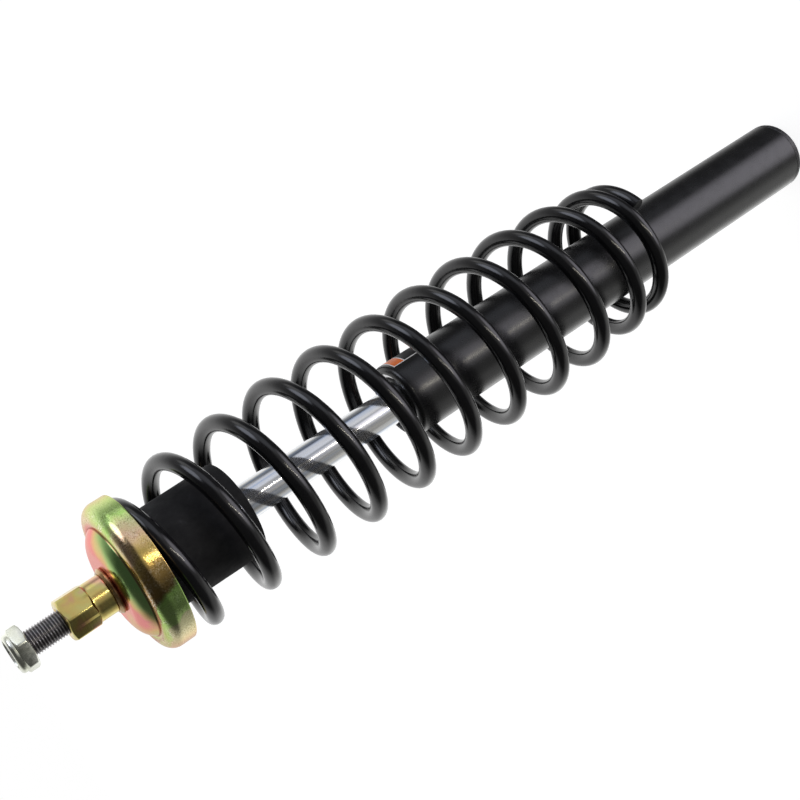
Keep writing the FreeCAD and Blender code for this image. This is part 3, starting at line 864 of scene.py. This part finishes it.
def make_lock_nut():
    """The lock nut: hexagon towards the thread, domed collar over the nylon ring."""
    insert_r = reach("lock_nut_insert")
    insert_low, insert_high = span("lock_nut_insert")
    pocket_r = insert_r + 0.02
    insert_bore = STUD_R + 0.06
    collar_r = 10.6
    dome = 2.0
    chamfer = 0.7
    rings = nut_rings([(NUT_BORE_R, LOCK_BOTTOM + chamfer), (NUT_BORE_R + chamfer, LOCK_BOTTOM)])
    rings += hexagon_rings(HEX_AF, math.radians(41), LOCK_BOTTOM, LOCK_HEX_TOP, collar_r)
    rings += nut_rings([(collar_r - 0.05, LOCK_HEX_TOP + 0.12)])
    rings += nut_rings(arc((collar_r - dome, LOCK_TOP - dome), dome, 8, 90, 10))
    rings += nut_rings([(pocket_r, LOCK_TOP), (pocket_r, insert_low), (NUT_BORE_R, insert_low)])
    mesh = rings_mesh("lock_nut_body", rings, closed=True)
    nut = finish_mesh("lock_nut_body", mesh, [WHITE_ZINC], "lock_nut", "lock_nut")
    soften(nut, 0.14)
    ring = rounded([
        (insert_bore, insert_low, 0),
        (insert_r, insert_low, 0),
        (insert_r, insert_high, 0.3),
        (insert_bore, insert_high, 0.5),
    ])
    lathe("lock_nut_nylon", ring, NYLON, "lock_nut", "lock_nut_insert")


# ---------------------------------------------------------------- cup, ring, stop and isolator

def make_cup():
    """The pressed cup: dome, pressed step, drawn shoulder and turned-down rim."""
    apex_r = 19.7
    dome_r = 15.0
    shoulder_z = 521.2
    corner = 7.0
    groove = 0.28
    outer_edge, inner_edge = 0.5, 0.4
    inner_r = CUP_R - CUP_SHEET
    centre = (apex_r, CUP_APEX - dome_r)
    corner_centre = (CUP_R - corner, shoulder_z - corner)
    rise = shoulder_z - centre[1]
    fall = math.degrees(math.asin(rise / dome_r))
    inner_fall = math.degrees(math.asin((rise - CUP_SHEET) / (dome_r - CUP_SHEET)))
    step_r, step_z = arc(centre, dome_r, fall, fall, 1)[0]
    outline = [(STUD_HOLE_R, CUP_APEX), (apex_r - 2, CUP_APEX)]
    outline += arc(centre, dome_r, 90, fall + 1.2, 24)
    outline += [(step_r - 0.05, step_z + 0.05 - groove), (step_r + 0.4, shoulder_z - groove)]
    outline += [(step_r + 0.9, shoulder_z), (step_r + 2.4, shoulder_z + 0.02)]
    outline += [(corner_centre[0], shoulder_z)]
    outline += arc(corner_centre, corner, 84, 0, 18)
    outline += [(CUP_R, z) for z in np.linspace(corner_centre[1] - 1, CUP_RIM + 0.8, 6)]
    outline += arc((CUP_R - outer_edge, CUP_RIM + outer_edge), outer_edge, 0, -90, 5)
    outline += arc((inner_r + inner_edge, CUP_RIM + inner_edge), inner_edge, -90, -180, 5)
    outline += arc(corner_centre, corner - CUP_SHEET, 0, 90, 12)
    outline += arc(centre, dome_r - CUP_SHEET, inner_fall, 90, 18)
    outline += [(STUD_HOLE_R, CUP_APEX - CUP_SHEET)]
    lathe("spring_cup_pressing", outline, CUP_ZINC, "rod", "spring_cup",
          segments=256)


def make_neck_ring():
    """The small ring between the cup and the collar nut."""
    low, high = span("neck_ring")
    outer = reach("neck_ring")
    ring = rounded([
        (STUD_HOLE_R, low, 0),
        (outer - 0.5, low, 0.2),
        (outer, low + 0.6, 0.3),
        (outer, high - 1.2, 0.4),
        (outer - 1.2, high, 0.4),
        (STUD_HOLE_R, high, 0),
    ])
    lathe("neck_ring_turned", ring, COPPER, "rod", "neck_ring")


def make_bump_stop():
    """The elastomer stop: a barely tapered cylinder with soft, slightly uneven edges."""
    low, boss_top = span("bump_stop")
    outer = reach("bump_stop")
    top_r, top_z = 27.0, 516.2
    boss_r = 20.0
    row_height = 3

    def uneven(angle, r, z):
        if r < boss_r + 2:
            return r, z
        spot = Vector((r * math.cos(angle), r * math.sin(angle), z))
        return r - 0.05 + 0.05 * noise.noise(spot * 0.12), z

    outline = rounded([
        (ROD_HOLE_R, low, 0.8),
        (outer, low, 1.8),
        (top_r, top_z, 1.0),
        (boss_r, top_z, 0.4),
        (boss_r, boss_top, 0.8),
        (ROD_HOLE_R, boss_top, 0),
    ])
    dense = []
    for (r, z), (next_r, next_z) in zip(outline, outline[1:] + outline[:1]):
        steps = max(1, int(abs(next_z - z) / row_height))
        for i in range(steps):
            dense.append((r + (next_r - r) * i / steps, z + (next_z - z) * i / steps))
    lathe("bump_stop_foam", dense, FOAM, "rod", "bump_stop", uneven)


def make_isolator():
    """The rubber ring in the cup on which the spring sits."""
    low, high = span("spring_isolator")
    outer = reach("spring_isolator")
    inner = 28.2
    ring = rounded([
        (inner, low, 0.5),
        (outer, low, 0.3),
        (outer - 0.5, low + 1.0, 0.3),
        (36.5, high, 0.3),
        (inner, high, 0.5),
    ])
    lathe("isolator_ring", ring, RUBBER, "rod", "spring_isolator")


# ---------------------------------------------------------------- spring

COIL_R = 45.3
START_ANGLE = math.radians(293.6)
# Turns from the lower end (closed, ramp, active, ramp, closed), and rises per turn.
LOW_CLOSED, LOW_RAMP, ACTIVE, TOP_RAMP, TOP_CLOSED = 0.80, 0.85, 9.25, 0.35, 0.45
LOW_PITCH, ACTIVE_PITCH, TOP_PITCH = 10.4, 34.4, 9.6
TURNS = LOW_CLOSED + LOW_RAMP + ACTIVE + TOP_RAMP + TOP_CLOSED
# How far the coils pull in: the lower taper, the last turn in the cup, and the spread below it.
LOW_TAPER, LOW_TAPER_TURNS = 7.7, 3.0
TOP_HOLD_TURNS = 0.65
TOP_STEP, TOP_STEP_TURNS = 5.5, 0.45
TOP_SPREAD, TOP_SPREAD_TURNS = 5.0, 3.3
# How far the lower end hangs off the axis.
LEAN = Vector((4.2, -4.2, 0.0))


def smooth(share):
    """A soft step from 0 to 1."""
    share = min(1.0, max(0.0, share))
    return share * share * (3 - 2 * share)


def wire_path(per_turn):
    """Points along the wire's centre, from the lower end up, in millimetres."""
    edges = np.cumsum([0.0, LOW_CLOSED, LOW_RAMP, ACTIVE, TOP_RAMP, TOP_CLOSED])
    pitches = [LOW_PITCH, LOW_PITCH, ACTIVE_PITCH, ACTIVE_PITCH, TOP_PITCH, TOP_PITCH]
    steps = round(TURNS * per_turn)
    turns = np.linspace(0, TURNS, steps + 1)
    middles = (turns[1:] + turns[:-1]) / 2
    climbs = np.interp(middles, edges, pitches) * np.diff(turns)
    rises = np.concatenate([[0.0], np.cumsum(climbs)])
    top_centre = SPRING_TOP - WIRE_R
    points = []
    for turn, rise in zip(turns, rises):
        angle = START_ANGLE + TURN * turn
        low = smooth(1 - turn / LOW_TAPER_TURNS)
        out_of_cup = TURNS - turn - TOP_HOLD_TURNS
        step_in = TOP_STEP * smooth(1 - out_of_cup / TOP_STEP_TURNS)
        spread_in = TOP_SPREAD * smooth(1 - out_of_cup / TOP_SPREAD_TURNS)
        radius = COIL_R - LOW_TAPER * low - step_in - spread_in
        below = rises[-1] - rise
        place = Vector((radius * math.cos(angle), radius * math.sin(angle), top_centre - below))
        points.append(place + LEAN * (below / rises[-1]))
    return points


def wire_rings():
    """Rings round the wire, drawn in a little at both cut ends."""
    around = 28
    path = wire_path(72)
    last = len(path) - 1
    # Each station is an index along the path, a share of the wire's radius and a shift along it.
    stations = [(0, 0.55, 0.0), (0, 0.93, 0.0), (0, 1.0, 0.35)]
    stations += [(index, 1.0, 0.0) for index in range(1, last)]
    stations += [(last, 1.0, -0.35), (last, 0.93, 0.0), (last, 0.55, 0.0)]
    rings = []
    for index, share, shift in stations:
        here = path[index]
        ahead = (path[min(index + 1, last)] - path[max(index - 1, 0)]).normalized()
        out = Vector((here.x, here.y, 0.0)).normalized()
        side = ahead.cross(out).normalized()
        out = side.cross(ahead).normalized()
        centre = here + ahead * shift
        ring = []
        for step in range(around):
            angle = TURN * step / around
            spoke = out * math.cos(angle) + side * math.sin(angle)
            ring.append(centre + spoke * WIRE_R * share)
        rings.append(ring)
    return rings


def make_spring():
    """The coil spring between its lower end and the cup, drawn at a single length."""
    mesh = rings_mesh("spring_wire", wire_rings(), closed=False)
    spring = finish_mesh("spring_wire", mesh, [COAT], "tube", "coil_spring")
    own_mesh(spring)


# ---------------------------------------------------------------- inner CAD pieces that stay

INNER = {
    "rod_seal": RUBBER,
    "guide_o_ring": RUBBER,
    "rod_guide": IRON,
    "guide_bush": BRONZE,
    "pressure_tube": STEEL,
    "piston": IRON,
    "piston_band": NYLON,
    "compression_shims": STEEL,
    "rebound_shims": STEEL,
    "piston_washer": STEEL,
    "piston_nut": STEEL,
    "stop_ring": STEEL,
    "top_out_bumper": NYLON,
    "base_valve_body": IRON,
    "base_valve_discs": STEEL,
    "base_valve_spring": STEEL,
    "base_valve_bolt": STEEL,
    "clamp_washer": STEEL,
}


def dress_inner():
    """The CAD nodes that keep their own shape get a detailed material."""
    for node, material in INNER.items():
        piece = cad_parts[node]
        piece.data.materials.clear()
        piece.data.materials.append(material)


# ---------------------------------------------------------------- camera, light and floor

def towards(azimuth, elevation):
    """A direction from the part; azimuth 0 is -Y and 90 is +X, in degrees."""
    a = math.radians(azimuth)
    e = math.radians(elevation)
    return Vector((math.sin(a) * math.cos(e), -math.cos(a) * math.cos(e), math.sin(e)))


def make_camera():
    """The camera, in front of and above the part, rolled so that it lies across the picture."""
    place = Vector((0.0003, -0.6119, 0.6261))
    forward = Vector((0.0, 0.9048, -0.4258)).normalized()
    right = Vector((-0.549, -0.3559, -0.7562))
    right = (right - forward * right.dot(forward)).normalized()
    up = right.cross(forward)
    camera = bpy.data.objects.new("camera", bpy.data.cameras.new("camera"))
    bpy.context.scene.collection.objects.link(camera)
    turn = Matrix((right, up, -forward)).transposed()
    camera.matrix_world = Matrix.Translation(place) @ turn.to_4x4()
    camera.data.sensor_width = 36
    camera.data.lens = 53.91
    camera.data.clip_start = 0.01
    bpy.context.scene.camera = camera


# Soft patches of the studio: azimuth, elevation, inner and outer half angle, brightness, colour.
STUDIO = [
    (180, 0, 40, 78, 0.85, (1.0, 1.0, 1.0)),
    (130, 15, 25, 60, 0.35, (1.0, 1.0, 1.0)),
    (-118, -40, 22, 50, 0.58, (1.0, 1.0, 0.98)),
    (-50, -45, 15, 40, 0.30, (1.0, 1.0, 0.98)),
    (71, 24, 9, 21, 3.0, (0.90, 0.95, 1.10)),
    (86, -2, 7, 17, 0.90, (1.0, 1.0, 1.0)),
    (55, -12, 12, 32, 0.70, (0.92, 0.96, 1.08)),
    (3, -48, 8, 32, 2.3, (0.98, 0.95, 1.06)),
    (5, -18, 15, 42, 0.38, (1.0, 0.99, 1.0)),
]
STUDIO_BASE = 0.07


def studio_light(tree):
    """The light of all the studio's patches over a dim base, as a colour socket."""
    ray = tree.nodes.new("ShaderNodeTexCoord").outputs["Generated"]
    total = None
    for azimuth, elevation, inner, outer, brightness, colour in STUDIO:
        facing = tree.nodes.new("ShaderNodeVectorMath")
        facing.operation = "DOT_PRODUCT"
        tree.links.new(ray, facing.inputs[0])
        facing.inputs[1].default_value = towards(azimuth, elevation)
        patch = tree.nodes.new("ShaderNodeMapRange")
        patch.interpolation_type = "SMOOTHSTEP"
        tree.links.new(facing.outputs["Value"], patch.inputs["Value"])
        patch.inputs["From Min"].default_value = math.cos(math.radians(outer))
        patch.inputs["From Max"].default_value = math.cos(math.radians(inner))
        patch.inputs["To Max"].default_value = brightness
        gather = tree.nodes.new("ShaderNodeVectorMath")
        gather.operation = "MULTIPLY_ADD"
        gather.inputs[0].default_value = colour
        tree.links.new(patch.outputs["Result"], gather.inputs[1])
        if total is None:
            gather.inputs[2].default_value = (STUDIO_BASE, STUDIO_BASE, STUDIO_BASE)
        else:
            tree.links.new(total, gather.inputs[2])
        total = gather.outputs[0]
    return total


def make_world():
    """Soft studio light all round, and a plain white backdrop."""
    world = bpy.data.worlds.new("studio")
    bpy.context.scene.world = world
    world.use_nodes = True
    tree = world.node_tree
    tree.nodes.clear()
    studio = tree.nodes.new("ShaderNodeBackground")
    tree.links.new(studio_light(tree), studio.inputs["Color"])
    backdrop = tree.nodes.new("ShaderNodeBackground")
    backdrop.inputs["Color"].default_value = (1, 1, 1, 1)
    seen = tree.nodes.new("ShaderNodeLightPath").outputs["Is Camera Ray"]
    choose = tree.nodes.new("ShaderNodeMixShader")
    tree.links.new(seen, choose.inputs[0])
    tree.links.new(studio.outputs[0], choose.inputs[1])
    tree.links.new(backdrop.outputs[0], choose.inputs[2])
    output = tree.nodes.new("ShaderNodeOutputWorld")
    tree.links.new(choose.outputs[0], output.inputs["Surface"])


def make_strip_light():
    """A thin leaning strip light, low in front of the part."""
    light = bpy.data.lights.new("strip", "AREA")
    light.shape = "RECTANGLE"
    light.size = 0.02
    light.size_y = 1.05
    light.energy = 4.0
    light.color = (1.0, 0.94, 0.78)
    strip = bpy.data.objects.new("strip", light)
    bpy.context.scene.collection.objects.link(strip)
    middle = Vector((0, 0, 0.3))
    distance = 1.5
    away = towards(0, -17)
    lean = Quaternion((0, 0, 1), math.radians(-28))
    strip.location = middle + away * distance
    strip.rotation_mode = "QUATERNION"
    strip.rotation_quaternion = away.to_track_quat("Z", "Y") @ lean
    strip.visible_camera = False


def make_floor():
    """A plain near-white floor, lit from within like a light table."""
    half = 8.0
    z = -0.0006
    corners = [(-half, -half, z), (half, -half, z), (half, half, z), (-half, half, z)]
    mesh = bpy.data.meshes.new("floor")
    mesh.from_pydata(corners, [], [(0, 1, 2, 3)])
    floor = bpy.data.objects.new("floor", mesh)
    bpy.context.scene.collection.objects.link(floor)
    material = bpy.data.materials.new("floor")
    material.use_nodes = True
    shader = material.node_tree.nodes["Principled BSDF"]
    shader.inputs["Base Color"].default_value = (0.4, 0.4, 0.4, 1)
    shader.inputs["Roughness"].default_value = 1.0
    shader.inputs["Specular IOR Level"].default_value = 0.0
    shader.inputs["Emission Color"].default_value = (1, 1, 1, 1)
    shader.inputs["Emission Strength"].default_value = 0.88
    mesh.materials.append(material)
    floor.visible_glossy = False
    floor.visible_diffuse = False
    floor.visible_shadow = False


make_camera()
make_world()
make_strip_light()
make_floor()

make_tube()
make_cap()
make_label()
make_gland()
make_rod()
make_collar_nut()
make_lock_nut()
make_cup()
make_neck_ring()
make_bump_stop()
make_isolator()
make_spring()
dress_inner()

bpy.context.scene.view_settings.view_transform = "Standard"
